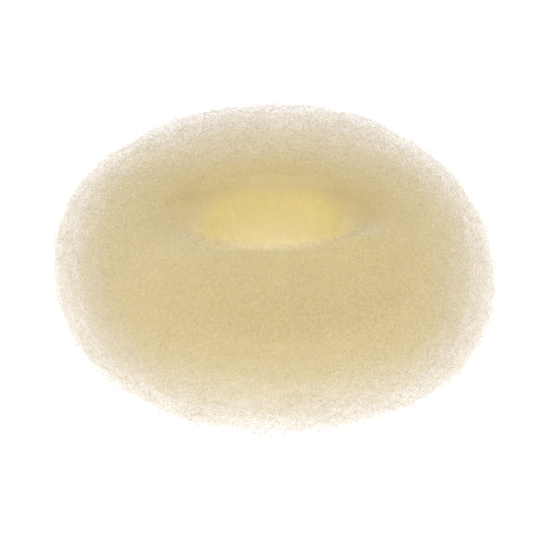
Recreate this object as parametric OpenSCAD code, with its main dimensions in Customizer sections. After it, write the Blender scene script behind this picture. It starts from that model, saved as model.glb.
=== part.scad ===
// Hair donut: a soft ring that hair is wound around to make a bun.
// One sleeve of crimped filament mesh is rolled on itself into a thick, solid ring with an open hole.
// Units are millimetres. +Z is up. The ring rests on z = 0, with the middle of its outline on the Z axis.
// Seen from the front, -Y is the near side and azimuth 0 is at +X.

/* [Ring] */
// Outside diameter across the fat middle of the ring
ring_d = 88; // [70:1:110]
// Height of the ring at its highest, above the surface that it rests on
ring_h = 40; // [32:0.5:46]
// Diameter of the open hole at its narrowest
hole_d = 25; // [18:0.5:30]

/* [Section of the roll] */
// Roundness of the section: 2 is an ellipse, more is fuller at the shoulders
fullness = 2.1; // [2:0.05:2.6]
// Depth that the underside is pressed in by resting on a surface
press = 1.2; // [0.4:0.1:3]

/* [Hand-rolled form] */
// How much of the unevenness of a hand-rolled ring is shown: 0 is a perfectly even ring
unevenness = 1; // [0:0.1:1.4]

/* [Smoothness] */
// Number of sections around the ring
sections = 84; // [48:12:96]
// Number of points around each section
section_points = 48; // [32:2:50]

/* [Hidden] */

mesh_color = [0.83, 0.75, 0.56];

// The roll is not even: it is widest to the back left and front right, highest at the back, and leanest in front.
// Each row is one section, every 30 degrees of azimuth, and says how far it departs from the even ring, in mm.
AZ = 0; OUTER = 1; HOLE = 2; TOP = 3; BELLY = 4;
FORM = [
    // azimuth, outer radius, hole radius, top height, height of the fattest point
    [  0,  0.4,  0.3, -2.4, -1.5],
    [ 30, -0.6,  0.1, -1.6, -1.0],
    [ 60, -0.8, -0.1,  0.0,  0.0],
    [ 90, -0.4, -0.1,  0.0,  0.5],
    [120,  0.0, -0.1, -0.4,  0.5],
    [150,  1.0,  0.1, -1.2,  0.5],
    [180,  0.8,  0.3, -1.4,  0.5],
    [210, -0.8,  0.1, -1.4,  0.0],
    [240, -1.6, -0.1, -1.6, -0.5],
    [270, -1.6, -0.1, -1.8, -0.5],
    [300, -1.0, -0.1, -1.8, -0.7],
    [330,  0.6,  0.1, -2.2, -1.1]
];

// Height of the fattest point of the even ring
belly_h = ring_h * 0.4875;

// A smooth closed curve through one column of FORM, read at any azimuth
function form_row(i, col) = FORM[(i + 2 * len(FORM)) % len(FORM)][col];
function smooth4(a, b, c, d, f) =
    0.5 * (2 * b + (c - a) * f + (2 * a - 5 * b + 4 * c - d) * f * f + (3 * b - a - 3 * c + d) * f * f * f);
function form(col, az) =
    let (s = az / (360 / len(FORM)), i = floor(s))
    unevenness * smooth4(form_row(i - 1, col), form_row(i, col), form_row(i + 1, col), form_row(i + 2, col), s - i);

// A power that keeps the sign of its base, for the rounded section
function spow(v, p) = sign(v) * pow(abs(v), p);

// One whole section, from its outermost point, over the top, round the hole side and back underneath.
// Its underside dips below z = 0 by the pressed depth, which the rest face then cuts off.
function section(az) =
    let (
        r_out = ring_d / 2 + form(OUTER, az),
        r_hole = hole_d / 2 + form(HOLE, az),
        top = ring_h + form(TOP, az),
        belly = belly_h + form(BELLY, az),
        r_mid = (r_out + r_hole) / 2,
        half_w = (r_out - r_hole) / 2
    )
    [for (k = [0:section_points - 1])
        let (t = 360 * k / section_points)
        [r_mid + half_w * spow(cos(t), 2 / fullness),
         belly + (t < 180 ? top - belly : belly + press) * spow(sin(t), 2 / fullness)]
    ];

// All the points of the roll, section by section
function roll_points() =
    [for (s = [0:sections - 1])
        let (az = 360 * s / sections)
        for (p = section(az)) [p[0] * cos(az), p[0] * sin(az), p[1]]
    ];

// The skin between each section and the next
function roll_faces(m) =
    [for (s = [0:sections - 1], k = [0:m - 1])
        let (s2 = (s + 1) % sections, k2 = (k + 1) % m)
        [s * m + k, s * m + k2, s2 * m + k2, s2 * m + k]
    ];

function middle(v) = (max(v) + min(v)) / 2;

module mesh_ring() {
    pts = roll_points();
    color(mesh_color)
        intersection() {
            // the middle of the outline is put on the Z axis
            translate([-middle([for (p = pts) p[0]]), -middle([for (p = pts) p[1]]), 0])
                polyhedron(points = pts, faces = roll_faces(section_points), convexity = 6);
            // everything above the surface that the ring rests on, which leaves one flat ring-shaped face
            translate([-ring_d, -ring_d, 0]) cube([2 * ring_d, 2 * ring_d, 2 * ring_h]);
        }
}

mesh_ring();
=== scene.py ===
import math
import bpy
import numpy as np
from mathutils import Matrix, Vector


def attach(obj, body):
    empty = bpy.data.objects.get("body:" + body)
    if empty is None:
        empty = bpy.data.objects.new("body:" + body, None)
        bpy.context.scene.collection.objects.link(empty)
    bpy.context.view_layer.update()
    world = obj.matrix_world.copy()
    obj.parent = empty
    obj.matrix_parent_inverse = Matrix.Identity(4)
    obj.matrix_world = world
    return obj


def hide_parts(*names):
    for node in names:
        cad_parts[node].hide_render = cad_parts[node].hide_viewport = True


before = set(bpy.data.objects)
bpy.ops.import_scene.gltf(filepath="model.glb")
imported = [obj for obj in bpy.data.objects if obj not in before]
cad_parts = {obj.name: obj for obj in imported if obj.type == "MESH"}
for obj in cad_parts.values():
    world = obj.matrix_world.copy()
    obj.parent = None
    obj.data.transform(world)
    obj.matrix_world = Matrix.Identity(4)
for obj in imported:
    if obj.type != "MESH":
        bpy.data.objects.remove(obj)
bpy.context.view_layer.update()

MM = 0.001

# ------------------------------------------------------------------ the ring's form
# The same named sizes and the same 12 rows as the part's source: how far each section, every 30 degrees of azimuth,
# departs from the even ring, in mm.
RING_D, RING_H, HOLE_D = 88.0, 40.0, 25.0
FULLNESS, PRESS = 2.1, 1.2
BELLY_H = RING_H * 0.4875
FORM = np.array([
    # azimuth, outer radius, hole radius, top height, height of the fattest point
    [0, 0.4, 0.3, -2.4, -1.5],
    [30, -0.6, 0.1, -1.6, -1.0],
    [60, -0.8, -0.1, 0.0, 0.0],
    [90, -0.4, -0.1, 0.0, 0.5],
    [120, 0.0, -0.1, -0.4, 0.5],
    [150, 1.0, 0.1, -1.2, 0.5],
    [180, 0.8, 0.3, -1.4, 0.5],
    [210, -0.8, 0.1, -1.4, 0.0],
    [240, -1.6, -0.1, -1.6, -0.5],
    [270, -1.6, -0.1, -1.8, -0.5],
    [300, -1.0, -0.1, -1.8, -0.7],
    [330, 0.6, 0.1, -2.2, -1.1],
])


def form(col, az):
    """One column of FORM as a smooth closed curve, at azimuths in radians."""
    s = (np.degrees(az) % 360.0) / 30.0
    i = np.floor(s).astype(int)
    f = s - i
    a, b, c, d = (FORM[(i + k) % 12, col] for k in (-1, 0, 1, 2))
    return 0.5 * (2 * b + (c - a) * f + (2 * a - 5 * b + 4 * c - d) * f**2 + (3 * b - a - 3 * c + d) * f**3)


def sizes(az):
    """Middle radius, half width, fattest height, half heights above and below it, of the sections at these azimuths."""
    r_out = RING_D / 2 + form(1, az)
    r_hole = HOLE_D / 2 + form(2, az)
    belly = BELLY_H + form(4, az)
    return (r_out + r_hole) / 2, (r_out - r_hole) / 2, belly, RING_H + form(3, az) - belly, belly + PRESS


_az = np.radians(np.arange(0, 360, 0.5))
_mid, _half, *_ = sizes(_az)
_x, _y = (_mid + _half) * np.cos(_az), (_mid + _half) * np.sin(_az)
SHIFT = np.array([-(_x.max() + _x.min()) / 2, -(_y.max() + _y.min()) / 2, 0.0])


def spow(v, p):
    return np.sign(v) * np.abs(v) ** p


def at(az, t, level):
    """Points, in mm, at azimuth az and section angle t, level times as far out from the section's middle as the skin."""
    mid, half, belly, up, down = sizes(az)
    r = mid + level * half * spow(np.cos(t), 2 / FULLNESS)
    z = belly + level * np.where(np.sin(t) > 0, up, down) * spow(np.sin(t), 2 / FULLNESS)
    return np.stack([r * np.cos(az), r * np.sin(az), z], -1) + SHIFT


def where(p):
    """Level, section angle, azimuth and outward direction of points in mm."""
    q = p - SHIFT
    az = np.arctan2(q[..., 1], q[..., 0])
    mid, half, belly, up, down = sizes(az)
    r = np.hypot(q[..., 0], q[..., 1])
    u = (r - mid) / half
    h = np.where(q[..., 2] > belly, up, down)
    v = (q[..., 2] - belly) / h
    n = FULLNESS
    level = (np.abs(u) ** n + np.abs(v) ** n) ** (1 / n) + 1e-9
    gu = spow(u / level, n - 1) / half
    gv = spow(v / level, n - 1) / h
    out = np.stack([gu * np.cos(az), gu * np.sin(az), gv], -1)
    out /= np.linalg.norm(out, axis=-1, keepdims=True) + 1e-12
    return level, np.arctan2(v, u), az, out


def unit(v):
    return v / (np.linalg.norm(v, axis=-1, keepdims=True) + 1e-12)


# The sleeve is rolled tight on the hole's side and loose on the outside. Each row is the level of the tight roll's
# surface at a section angle, from underneath, over the outside and the top, to the hole. The front is rolled firmer
# than the back.
ROLL = np.array([
    # angle, level in front, level at the back
    [-180, 0.92, 0.92],
    [-135, 0.50, 0.66],
    [-100, 0.20, 0.28],
    [-70, 0.13, 0.13],
    [-30, 0.12, 0.12],
    [30, 0.12, 0.12],
    [65, 0.24, 0.15],
    [85, 0.50, 0.24],
    [110, 0.95, 0.40],
    [135, 1.00, 0.64],
    [155, 0.96, 0.86],
    [180, 0.92, 0.92],
])
ROLL_OUT = ROLL[:, 1:].min()
_fine = np.radians(np.arange(-180, 180, 1.0))
_tables = [np.interp(_fine, np.radians(ROLL[:, 0]), ROLL[:, k]) for k in (1, 2)]
for _ in range(40):
    _tables = [(np.roll(x, 1) + 2 * x + np.roll(x, -1)) / 4 for x in _tables]


def soft(v):
    """0 below 0, 1 above 1, and a smooth step between them."""
    v = np.clip(v, 0, 1)
    return v * v * (3 - 2 * v)


def lip_left(t, az):
    """How much of the full level is left at section angle t and azimuth az: the hole's lip is pressed down a little at the
    front left, so that the hole's corner is square there."""
    d = (np.degrees(az) - 222 + 180) % 360 - 180
    over = np.abs((np.degrees(t) + 180) % 360 - 180 - 135)
    return 1 - 0.19 * soft(1 - np.abs(d) / 38) * soft(1 - over / 50)


def roll_level(t, az):
    """Level of the tight roll's surface at section angle t and azimuth az."""
    t = (t + math.pi) % (2 * math.pi) - math.pi
    front, rear = (np.interp(t, _fine, x, period=2 * math.pi) for x in _tables)
    # firmest in front and a little to the right
    f = np.clip((0.35 - np.sin(az - math.radians(10))) / 1.25, 0, 1)
    f = f * f * (3 - 2 * f)
    return (rear + (front - rear) * f) * lip_left(t, az)


def shell_level(t, side, top, bottom, hole=0.88):
    """Level at section angle t of a shell that is at these levels on the outside, over the top, underneath and in the
    hole."""
    c, s = np.cos(t) ** 2, np.sin(t) ** 2
    return np.where(np.cos(t) > 0, side, hole) * c + np.where(np.sin(t) > 0, top, bottom) * s


def loose_level(t, az, w):
    """Level at section angle t and azimuth az at depth w, which is 0 on the tight roll and 1 on the skin."""
    c = roll_level(t, az)
    return c + (lip_left(t, az) - c) * w


# ------------------------------------------------------------------ crimped filament
def even_starts(seed, count):
    """Azimuths and section angles spread over the roll's skin as a low-discrepancy sequence, more where it is loose."""
    g = np.random.default_rng(seed)
    i = np.arange(count * 6) + g.integers(0, 5000)
    u, v = (0.5 + i * 0.7548776662466927) % 1.0, (0.5 + i * 0.5698402909980532) % 1.0
    w = (0.5 + i * 0.3819660112501051) % 1.0
    t = np.linspace(-math.pi, math.pi, 721)
    c = np.stack([16 * spow(np.cos(t), 2 / FULLNESS), 20 * spow(np.sin(t), 2 / FULLNESS)], -1)
    s = np.concatenate([[0], np.cumsum(np.linalg.norm(np.diff(c, axis=0), axis=1))])
    ang = np.interp(v * s[-1], s, t)
    az = u * 2 * math.pi
    mid, half, *_ = sizes(az)
    wide = (mid + 0.85 * half * np.cos(ang)) / (mid + 0.85 * half)
    deep = 0.15 + 0.85 * (1 - roll_level(ang, az)) / (1 - ROLL_OUT)
    keep = w < wide * deep * (0.75 + 0.25 * np.sin(ang) ** 2)
    az, ang = az[keep][:count], ang[keep][:count]
    mix = g.permutation(len(az))
    return az[mix], ang[mix]


CELL = 0.8
filled = np.zeros((130, 130, 60), np.float32)


def cells(p):
    """Indices, in the grid of filled space, of points in mm."""
    i = ((p + np.array([52.0, 52.0, 3.0])) / CELL).astype(int)
    return tuple(np.clip(i[..., k], 0, filled.shape[k] - 1) for k in range(3))


def filaments(seed, count, steps, ahead, low, high, crimp, wave, wander=0.03, top=1.09):
    """Paths of count crimped filaments as an array (count, steps + 1, 3), in mm, with the two side directions of each point.
    Each goes ahead mm a step on a turning course over the roll, bending to where there is least filament yet, and curls
    about it at crimp mm to each side, once in about wave mm, in a plane that turns as it goes. Nothing passes the level
    top, or goes under the surface that the ring rests on."""
    g = np.random.default_rng(seed)
    w0 = low + (high - low) * g.uniform(0, 1, count)
    az, t = even_starts(seed, count)
    p = at(az, t, loose_level(t, az, w0))
    w = w0.copy()
    # on the hole's side the courses run up and down the wall
    upright = np.clip(-np.cos(t), 0, 1)
    heading = np.where(g.uniform(0, 1, count) < upright, math.pi / 2 + g.normal(size=count) * 0.5, g.uniform(0, 2 * math.pi, count))
    turn = g.normal(size=count) * 0.05
    phase = g.uniform(0, 2 * math.pi, count)
    plane = g.uniform(0, 2 * math.pi, count)
    spin = g.choice([-1.0, 1.0], count) * g.uniform(0.05, 0.30, count)
    depth = g.uniform(0.35, 1.0, count)
    size = np.ones(count)
    rate = 2 * math.pi * ahead / (wave * g.uniform(0.75, 1.35, count))
    path = []
    for _ in range(steps + 1):
        level, ang, az, out = where(p)
        ring = np.stack([-np.sin(az), np.cos(az), np.zeros_like(az)], -1)
        round_ = np.cross(ring, out)
        c, s = np.cos(heading)[:, None], np.sin(heading)[:, None]
        along, side = ring * c + round_ * s, round_ * c - ring * s
        e1 = out * np.sin(plane)[:, None] + side * np.cos(plane)[:, None]
        e2 = out * np.cos(plane)[:, None] - side * np.sin(plane)[:, None]
        e2 = e2 * depth[:, None] + along * (0.6 * (1 - depth))[:, None]
        q = p + (crimp * size)[:, None] * (e1 * np.cos(phase)[:, None] + e2 * np.sin(phase)[:, None])
        # what would stand out past the top level, or under the floor, is pressed back
        lq, _, _, oq = where(q)
        q = q - oq * (np.maximum(lq - top, 0) * 17)[:, None]
        q[:, 2] = np.where(q[:, 2] < 0.6, 0.12 + 0.48 * np.exp((q[:, 2] - 0.6) / 0.48), q[:, 2])
        path.append(q)
        np.add.at(filled, cells(q), 1.0)
        # the course bends, or goes deeper or shallower, to the emptiest of seven places just ahead
        best = np.full(count, np.inf)
        bend, sink = np.zeros(count), np.zeros(count)
        for b, k in ((0.0, 0.0), (-0.7, 0.0), (0.7, 0.0), (-1.4, 0.0), (1.4, 0.0), (0.0, -1.0), (0.0, 1.0)):
            cb, sb = math.cos(b), math.sin(b)
            spot = p + (along * cb + side * sb) * 1.0 + out * (0.8 * k)
            much = filled[cells(spot)] + g.uniform(0, 0.4, count)
            less = much < best
            best = np.where(less, much, best)
            bend, sink = np.where(less, b, bend), np.where(less, k, sink)
        # underneath, its own weight presses it in
        aim_at = loose_level(ang, az, w) - 0.04 * np.clip(-np.sin(ang), 0, 1) * w
        p = p + along * ahead + out * ((aim_at - level) * 17 * 0.4 + sink * 0.2)[:, None]
        heading += turn + 0.45 * bend + g.normal(size=count) * 0.10
        turn += -turn * 0.1 + g.normal(size=count) * 0.02
        w += (w0 - w) * 0.05 + g.normal(size=count) * wander
        phase += rate * g.uniform(0.6, 1.4, count)
        plane += spin + g.normal(size=count) * 0.15
        size += (1 - size) * 0.15 + g.normal(size=count) * 0.16
        size = np.clip(size, 0.25, 1.7)
    P = np.stack(path, 1)
    T = unit(np.gradient(P, axis=1))
    n = unit(np.cross(T[:, 0], g.normal(size=(count, 3))))
    N = [n]
    for k in range(1, steps + 1):
        n = unit(n - T[:, k] * (n * T[:, k]).sum(-1, keepdims=True))
        N.append(n)
    N = np.stack(N, 1)
    return P, N, np.cross(T, N)


def put_uv(me, loops, az, ang):
    """A map of the whole ring: across is the azimuth and up is the section angle."""
    u, v = (az / (2 * math.pi)) % 1.0, (ang / (2 * math.pi)) % 1.0
    uv = np.stack([u, v], -1)[loops]
    me.uv_layers.new(name="OFBake").data.foreach_set("uv", uv.astype(np.float32).ravel())


def tube_mesh(name, P, N, B, thick, seed):
    """One mesh of closed, three-sided tubes along the paths, thick mm across, with a random tone for each filament."""
    g = np.random.default_rng(seed)
    n, m = P.shape[:2]
    th = thick * g.uniform(0.85, 1.15, (n, 1, 1, 1)) / 2
    # the ends taper a little
    taper = np.ones(m); taper[0] = taper[-1] = 0.35
    ang = np.array([0, 2 * math.pi / 3, 4 * math.pi / 3])
    ring = N[:, :, None, :] * np.cos(ang)[None, None, :, None] + B[:, :, None, :] * np.sin(ang)[None, None, :, None]
    V = (P[:, :, None, :] + ring * th * taper[None, :, None, None])
    V[..., 2] = np.maximum(V[..., 2], 0.01)
    V = V.reshape(-1, 3) * MM
    base = (np.arange(n) * m * 3)[:, None, None]
    i = np.arange(m - 1)[None, :, None] * 3
    j = np.arange(3)[None, None, :]
    j2 = (j + 1) % 3
    quads = np.stack(np.broadcast_arrays(base + i + j, base + i + j2, base + i + 3 + j2, base + i + 3 + j), -1).reshape(-1, 4)
    b0 = np.arange(n) * m * 3
    caps = np.concatenate([np.stack([b0 + 2, b0 + 1, b0], -1), np.stack([b0, b0 + 1, b0 + 2], -1) + (m - 1) * 3])
    me = bpy.data.meshes.new(name)
    nq, nc = len(quads), len(caps)
    me.vertices.add(len(V))
    me.vertices.foreach_set("co", V.astype(np.float32).ravel())
    me.loops.add(nq * 4 + nc * 3)
    loops = np.concatenate([quads.ravel(), caps.ravel()]).astype(np.int32)
    me.loops.foreach_set("vertex_index", loops)
    me.polygons.add(nq + nc)
    start = np.concatenate([np.arange(nq) * 4, nq * 4 + np.arange(nc) * 3]).astype(np.int32)
    me.polygons.foreach_set("loop_start", start)
    me.polygons.foreach_set("use_smooth", np.ones(nq + nc, bool))
    me.update(calc_edges=True)
    tone = np.repeat(g.uniform(0, 1, n), m * 3).astype(np.float32)
    me.attributes.new("tone", "FLOAT", "POINT").data.foreach_set("value", tone)
    level, ang_, az, _ = where(V / MM)
    put_uv(me, loops, az, ang_)
    ob = bpy.data.objects.new(name, me)
    bpy.context.scene.collection.objects.link(ob)
    return ob, 2 * nq + nc


# How far up the wall of the hole its yellow reaches. The yellow is a painted glow that stands in for light passing
# through the roll and bouncing round the hole. Each row is an azimuth, the angle from the wall's middle where the
# yellow ends, and the angle over which it fades. It ends lowest and most crisply on the right, and runs up over the lip
# in front.
PAINTED_WALL_GLOW = np.array([
    [0, 10, 8],
    [20, 18, 10],
    [40, 40, 14],
    [60, 45, 20],
    [90, 43, 24],
    [120, 46, 22],
    [140, 43, 20],
    [160, 26, 16],
    [180, 13, 12],
    [205, 20, 14],
    [222, 38, 16],
    [240, 54, 16],
    [270, 58, 16],
    [305, 54, 16],
    [325, 30, 12],
    [340, 17, 10],
])


def roll_mesh(name, level_at, na, nt_, lumps):
    """A closed ring at the level that level_at gives for a section angle and an azimuth. Lumps are (size in level, most
    waves round the ring, most waves round the section, how many of them, seed)."""
    az = np.arange(na) * 2 * math.pi / na
    t = np.arange(nt_) * 2 * math.pi / nt_
    A, T = np.meshgrid(az, t, indexing="ij")
    off = np.zeros_like(A)
    for size, most_a, most_t, many, seed in lumps:
        g = np.random.default_rng(seed)
        for _ in range(many):
            fa, ft = g.integers(most_a // 5, most_a), g.integers(-most_t, most_t + 1)
            off += size / math.sqrt(many) * g.normal() * np.cos(fa * A + ft * T + g.uniform(0, 6.28))
    P = at(A.ravel(), T.ravel(), level_at(T.ravel(), A.ravel()) + off.ravel())
    P[:, 2] = np.where(P[:, 2] < 0.6, 0.12 + 0.48 * np.exp((P[:, 2] - 0.6) / 0.48), P[:, 2])
    V = P * MM
    i, j = np.meshgrid(np.arange(na), np.arange(nt_), indexing="ij")
    i2, j2 = (i + 1) % na, (j + 1) % nt_
    quads = np.stack([i * nt_ + j, i2 * nt_ + j, i2 * nt_ + j2, i * nt_ + j2], -1).reshape(-1, 4)
    me = bpy.data.meshes.new(name)
    me.from_pydata(V.tolist(), [], quads.tolist())
    me.polygons.foreach_set("use_smooth", np.ones(len(quads), bool))
    # the map: the last row and column run on to 1
    U = np.stack([i, i2 + (i2 == 0) * na, i2 + (i2 == 0) * na, i], -1) / na
    W = np.stack([j, j, j2 + (j2 == 0) * nt_, j2 + (j2 == 0) * nt_], -1) / nt_
    me.uv_layers.new(name="OFBake").data.foreach_set("uv", np.stack([U, W], -1).astype(np.float32).ravel())
    # soft masks for painted light and shade: 1 deep on the wall of the hole, which is painted a yellow glow; 1 on the
    # wall's lower part, which is painted paler as if lit by the floor under the hole; 1 on the lip round the wall,
    # widest at the sides, which is painted duller as shade in the crease; and 1 on the upper half of the front, which
    # is painted darker as shade
    A, T = A.ravel(), T.ravel()
    away, over = np.degrees(T) - 180, (np.degrees(T) + 180) % 360 - 180
    ends, fades = (np.interp(np.degrees(A), PAINTED_WALL_GLOW[:, 0], PAINTED_WALL_GLOW[:, k], period=360) for k in (1, 2))
    front, rear, near = soft((0.35 - np.sin(A - math.radians(16))) / 1.25), soft(np.sin(A)), soft(-np.sin(A))
    # how much of the haze's grain shows: none on the hole's side, less where the roll is firm, in front and on top of
    # both sides, and more where it is loose, on the back and a little on the right
    firm = np.maximum(front * np.clip((over + 30) / 40, 0, 1), (1 - rear) * np.clip((over - 70) / 30, 0, 1))
    loose = rear * np.clip((over + 10) / 40, 0, 1) * np.clip((100 - over) / 25, 0, 1)
    loose = np.maximum(loose, 0.55 * soft(np.cos(A)) * np.clip((80 - np.abs(over)) / 30, 0, 1))
    share = (1 - soft((70 + 12 * near - np.abs(away)) / 38)) * (1 - 0.40 * firm) * (1 + 0.4 * loose)
    side = np.abs(np.cos(A)) ** 3
    lip = soft((51 + 41 * side - np.abs(away)) / (16 + 9 * side))
    # the back mask carries the painted cooler shade of the haze's grain on the back
    for mask, f in (("wall", soft((ends - np.abs(away)) / fades)), ("low", soft((away + 30) / 40)), ("lip", lip),
                    ("front", front * soft((over + 25) / 100)), ("share", share), ("back", rear)):
        me.attributes.new(mask, "FLOAT", "POINT").data.foreach_set("value", f.astype(np.float32))
    me.update()
    ob = bpy.data.objects.new(name, me)
    bpy.context.scene.collection.objects.link(ob)
    return ob


# ------------------------------------------------------------------ materials
def new_material(name):
    m = bpy.data.materials.new(name)
    m.use_nodes = True
    nt = m.node_tree
    nt.nodes.clear()
    return m, nt


def node(nt, kind, **values):
    n = nt.nodes.new(kind)
    for key, val in values.items():
        setattr(n, key, val)
    return n


def two_colours(nt, fac, lo, hi, first, second):
    ramp = node(nt, "ShaderNodeValToRGB")
    ramp.color_ramp.elements[0].position, ramp.color_ramp.elements[0].color = lo, (*first, 1)
    ramp.color_ramp.elements[1].position, ramp.color_ramp.elements[1].color = hi, (*second, 1)
    nt.links.new(fac, ramp.inputs["Fac"])
    return ramp.outputs["Color"]


def noise(nt, scale, detail, stretch=None):
    tex = node(nt, "ShaderNodeTexCoord")
    n = node(nt, "ShaderNodeTexNoise")
    n.inputs["Scale"].default_value = scale
    n.inputs["Detail"].default_value = detail
    source = tex.outputs["Object"]
    if stretch is not None:
        m = node(nt, "ShaderNodeMapping")
        m.inputs["Scale"].default_value = stretch
        nt.links.new(source, m.inputs["Vector"])
        source = m.outputs["Vector"]
    nt.links.new(source, n.inputs["Vector"])
    return n.outputs["Fac"]


def filament_material(name, pale, deep, alpha, rough=0.35):
    """Clear, slightly yellow nylon filament: colour from pale to deep by each filament's tone and by soft patches."""
    m, nt = new_material(name)
    out = node(nt, "ShaderNodeOutputMaterial")
    p = node(nt, "ShaderNodeBsdfPrincipled")
    p.inputs["Roughness"].default_value = rough
    p.inputs["IOR"].default_value = 1.53
    p.inputs["Alpha"].default_value = alpha
    tone = node(nt, "ShaderNodeAttribute", attribute_name="tone")
    add = node(nt, "ShaderNodeMath", operation="MULTIPLY_ADD")
    nt.links.new(tone.outputs["Fac"], add.inputs[0])
    add.inputs[1].default_value = 0.6
    nt.links.new(noise(nt, 900.0, 3.0), add.inputs[2])
    nt.links.new(two_colours(nt, add.outputs[0], 0.35, 1.15, pale, deep), p.inputs["Base Color"])
    nt.links.new(p.outputs[0], out.inputs["Surface"])
    return m


def masked(nt, mask, first, second):
    """The first colour where the named mask is 0, and the second where it is 1."""
    mix = node(nt, "ShaderNodeMix", data_type="RGBA")
    nt.links.new(node(nt, "ShaderNodeAttribute", attribute_name=mask).outputs["Fac"], mix.inputs[0])
    nt.links.new(first, mix.inputs[6])
    nt.links.new(second, mix.inputs[7])
    return mix.outputs[2]


def roll_material(name, skin, front, lip, wall, low):
    """The tight roll: so much filament that it has a skin, with a fine grain drawn out up and down the wall, from
    palest to deepest. It is rolled firmer in front and on the wall of the hole. Over the grain it carries painted light
    and shade: a deep yellow glow painted on the wall of the hole for light that passes through the roll and bounces
    round the hole, a deeper, darker yellow painted on the upper front as shade, a duller colour painted on the lip
    round the wall as shade in the crease, and a paler colour painted low on the wall as light from the floor under the
    hole."""
    m, nt = new_material(name)
    out = node(nt, "ShaderNodeOutputMaterial")
    p = node(nt, "ShaderNodeBsdfPrincipled")
    p.inputs["Roughness"].default_value = 0.8
    p.inputs["Specular IOR Level"].default_value = 0.2
    grain = noise(nt, 1000.0, 5.0, (1.0, 1.0, 0.35))
    skin, front, lip, wall, low = (two_colours(nt, grain, 0.3, 0.7, deep, pale) for pale, deep in (skin, front, lip, wall, low))
    # front, lip, wall and low are painted light and shade laid over the skin's colour
    outside = masked(nt, "lip", masked(nt, "front", skin, front), lip)
    nt.links.new(masked(nt, "wall", outside, masked(nt, "low", wall, low)), p.inputs["Base Color"])
    bump = node(nt, "ShaderNodeBump")
    bump.inputs["Strength"].default_value = 0.5
    bump.inputs["Distance"].default_value = 0.0003
    nt.links.new(grain, bump.inputs["Height"])
    nt.links.new(bump.outputs["Normal"], p.inputs["Normal"])
    nt.links.new(p.outputs[0], out.inputs["Surface"])
    return m


def haze_material(name, albedo, density, pale, deep, cover, spread):
    """The finest filament, too fine to draw one by one. It scatters light inside each shell, and its crimps show on the
    shell as a fine open grain, from pale to deep, that covers up to the given share. On the loose back the grain is
    painted cooler and greyer, as shade under the dimmer light there. A small spread makes it crisper."""
    m, nt = new_material(name)
    out = node(nt, "ShaderNodeOutputMaterial")
    p = node(nt, "ShaderNodeBsdfPrincipled")
    p.inputs["Roughness"].default_value = 1.0
    p.inputs["Specular IOR Level"].default_value = 0.0
    tones = noise(nt, 1350.0, 0.0)
    warm = two_colours(nt, tones, 0.38, 0.62, deep, pale)
    # painted shade: on the back the grain is tinted cooler and greyer, as under dimmer, cooler light
    painted_cool_shade = two_colours(nt, tones, 0.38, 0.62, *((c[0] * 0.985, c[1], c[2] * 1.16) for c in (deep, pale)))
    nt.links.new(masked(nt, "back", warm, painted_cool_shade), p.inputs["Base Color"])
    grain = node(nt, "ShaderNodeMapRange")
    grain.inputs["From Min"].default_value = 0.52 - spread
    grain.inputs["From Max"].default_value = 0.52 + spread
    grain.inputs["To Max"].default_value = cover
    nt.links.new(noise(nt, 1700.0, 1.0), grain.inputs["Value"])
    # it fades out down the wall of the hole, where the tight roll shows
    shown = node(nt, "ShaderNodeMath", operation="MULTIPLY")
    nt.links.new(grain.outputs["Result"], shown.inputs[0])
    nt.links.new(node(nt, "ShaderNodeAttribute", attribute_name="share").outputs["Fac"], shown.inputs[1])
    nt.links.new(shown.outputs[0], p.inputs["Alpha"])
    v = node(nt, "ShaderNodeVolumePrincipled")
    v.inputs["Color"].default_value = (*albedo, 1)
    v.inputs["Density"].default_value = density
    v.inputs["Anisotropy"].default_value = 0.0
    nt.links.new(p.outputs[0], out.inputs["Surface"])
    nt.links.new(v.outputs[0], out.inputs["Volume"])
    return m


def piece(ob):
    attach(ob, "root")
    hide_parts("mesh_ring")


# ------------------------------------------------------------------ the ring
roll = roll_mesh("tight_roll", roll_level, 216, 72, [(0.005, 60, 10, 60, 5), (0.002, 200, 10, 80, 6)])
# pale and deep colours of the skin, the upper front, the lip, the wall and the wall's lower part. The skin is painted
# paler than the filament's own colour, as light in place of the shade deep in the roll. The upper front is painted
# darker as shade, the lip duller as shade in the crease, the wall a yellow glow, and the wall's lower part paler as
# light from the floor.
roll.data.materials.append(roll_material(
    "tight_mesh", ((0.99, 0.945, 0.68), (0.975, 0.915, 0.62)), ((0.775, 0.66, 0.30), (0.745, 0.615, 0.25)),
    ((0.835, 0.74, 0.465), (0.81, 0.705, 0.415)),
    ((0.86, 0.73, 0.34), (0.825, 0.68, 0.28)), ((0.915, 0.82, 0.53), (0.885, 0.78, 0.47))))
piece(roll)

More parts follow.
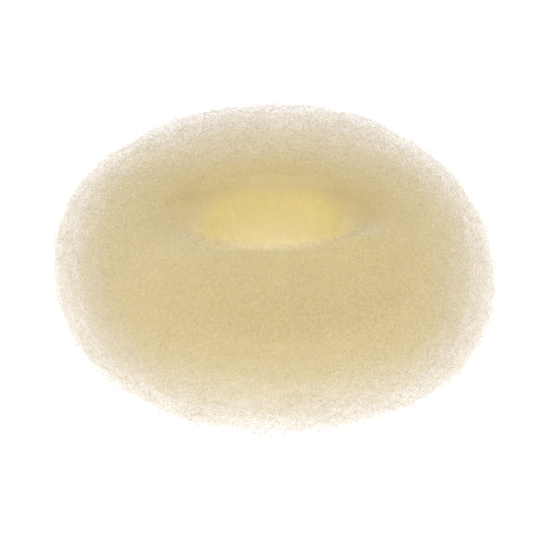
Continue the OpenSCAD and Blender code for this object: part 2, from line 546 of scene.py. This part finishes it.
HAZE = [
    # name, levels outside, over the top and underneath, albedo, density per m that it adds to the shells round it,
    # palest and deepest grain, the most that the grain covers, its spread, and the size of its lumps
    # The albedo and the grain colours run from palest in the deepest shell to greyest in the outermost, though it is
    # all the same filament: the deep shells are painted paler as light in place of the shade inside the roll, and the
    # outer ones greyer as painted shade.
    ("haze_1", 0.33, 0.56, 0.49, (0.993, 0.953, 0.675), 56.0, (0.99, 0.95, 0.68), (0.96, 0.90, 0.60), 0.04, 0.18, 0.035),
    ("haze_2", 0.42, 0.85, 0.66, (0.983, 0.932, 0.665), 46.0, (0.99, 0.94, 0.68), (0.95, 0.88, 0.59), 0.05, 0.18, 0.030),
    ("haze_3", 0.71, 1.01, 0.82, (0.91, 0.835, 0.575), 23.0, (0.93, 0.855, 0.61), (0.87, 0.785, 0.53), 0.08, 0.18, 0.020),
    ("haze_4", 1.01, 1.05, 0.92, (0.78, 0.69, 0.475), 14.0, (0.82, 0.73, 0.47), (0.73, 0.635, 0.385), 0.17, 0.16, 0.012),
    ("haze_5", 1.07, 1.075, 0.98, (0.71, 0.64, 0.55), 9.0, (0.785, 0.715, 0.635), (0.685, 0.615, 0.545), 0.26, 0.15, 0.012),
]
for k, (name, side, top, bottom, albedo, density, pale, deep, cover, spread, lump) in enumerate(HAZE):
    ob = roll_mesh(name, lambda t, az: shell_level(t, side, top, bottom, 0.84) * lip_left(t, az), 96, 40, [(lump, 32, 6, 60, 20 + k)])
    ob.data.materials.append(haze_material(name, albedo, density, pale, deep, cover, spread))
    piece(ob)

LAYERS = [
    # name, seed, from and to depth, metres of filament, thickness, crimp, wave, pale, deep, alpha
    # The colours run from palest on the innermost layer to greyest on the outermost, though it is all the same nylon:
    # the inner layers are painted paler as light in place of the shade inside the roll, and the outer ones greyer as
    # painted shade.
    ("mesh_layer_1", 11, 0.00, 0.42, 16.5, 0.036, 0.26, 1.4, (0.96, 0.89, 0.66), (0.87, 0.78, 0.51), 1.0),
    ("mesh_layer_2", 12, 0.36, 0.62, 17.0, 0.034, 0.26, 1.4, (0.95, 0.87, 0.65), (0.84, 0.75, 0.49), 1.0),
    ("mesh_layer_3", 13, 0.58, 0.80, 18.0, 0.032, 0.26, 1.3, (0.93, 0.85, 0.64), (0.83, 0.735, 0.49), 1.0),
    ("mesh_layer_4", 14, 0.76, 0.97, 19.0, 0.031, 0.25, 1.3, (0.885, 0.80, 0.615), (0.755, 0.655, 0.45), 1.0),
    ("mesh_layer_5", 15, 0.88, 1.05, 19.0, 0.031, 0.25, 1.3, (0.84, 0.765, 0.62), (0.67, 0.585, 0.44), 1.0),
]
STEPS = 40
STEP = 0.60
total = 0
for name, seed, low, high, metres, thick, crimp, wave, pale, deep, alpha in LAYERS:
    ahead = STEP / math.sqrt(1 + (2 * math.pi * crimp * 0.85 / wave) ** 2)
    count = int(metres * 1000 / (STEP * STEPS))
    P, N, B = filaments(seed, count, STEPS, ahead, low, high, crimp, wave)
    real = np.linalg.norm(np.diff(P, axis=1), axis=-1)
    ob, tris = tube_mesh(name, P, N, B, thick, seed + 100)
    total += tris
    ob.data.materials.append(filament_material(name + "_nylon", pale, deep, alpha))
    piece(ob)
    print(name, len(P), "filaments,", round(real.sum() / 1000, 1), "m, step", round(float(real.mean()), 3), "tris", tris)
print("triangles", total)

# ------------------------------------------------------------------ floor, light, camera
bpy.ops.mesh.primitive_plane_add(size=8.0, location=(0, 0, -0.00005))
floor = bpy.context.object
floor.name = "floor"
fm, nt = new_material("white_floor")
fo = node(nt, "ShaderNodeOutputMaterial")
fe = node(nt, "ShaderNodeEmission")
fe.inputs["Color"].default_value = (1, 1, 1, 1)
fe.inputs["Strength"].default_value = 1.25
nt.links.new(fe.outputs[0], fo.inputs["Surface"])
floor.data.materials.append(fm)

world = bpy.data.worlds.new("studio")
bpy.context.scene.world = world
world.use_nodes = True
nt = world.node_tree
nt.nodes.clear()
wo = node(nt, "ShaderNodeOutputWorld")
bg = node(nt, "ShaderNodeBackground")
bg.inputs["Strength"].default_value = 1.0
# white at the horizon, and dimmer and a little cooler overhead and to the back, so that most light comes from in front
sky = node(nt, "ShaderNodeTexCoord")
height = node(nt, "ShaderNodeVectorMath", operation="DOT_PRODUCT")
height.inputs[1].default_value = (0.0, 0.34, 0.94)
nt.links.new(sky.outputs["Generated"], height.inputs[0])
nt.links.new(two_colours(nt, height.outputs["Value"], 0.05, 0.9, (1.28, 1.28, 1.28), (0.86, 0.86, 0.88)), bg.inputs["Color"])
nt.links.new(bg.outputs[0], wo.inputs["Surface"])

sc = bpy.context.scene
sc.view_settings.view_transform = "Standard"
sc.cycles.max_bounces = 12
sc.cycles.diffuse_bounces = 5
sc.cycles.volume_bounces = 7
sc.cycles.transparent_max_bounces = 40

cam_data = bpy.data.cameras.new("camera")
cam = bpy.data.objects.new("camera", cam_data)
sc.collection.objects.link(cam)
sc.camera = cam
ELEV, DIST = math.radians(30.0), 0.85
back = Vector((0, -math.cos(ELEV), math.sin(ELEV)))
up = Vector((0, math.sin(ELEV), math.cos(ELEV)))
right = Vector((1, 0, 0))
aim = Vector((0.0002, -0.0006, 0.0195)) + right * (-5.0 / 4.9 * MM) + up * (-0.5 / 4.9 * MM)
cam.location = aim + back * DIST
cam.rotation_mode = "QUATERNION"
cam.rotation_quaternion = (-back).to_track_quat("-Z", "Y")
cam_data.sensor_width = 36.0
cam_data.lens = 36.0 * DIST / (540 / 4.9 * MM)
cam_data.clip_start, cam_data.clip_end = 0.05, 20.0
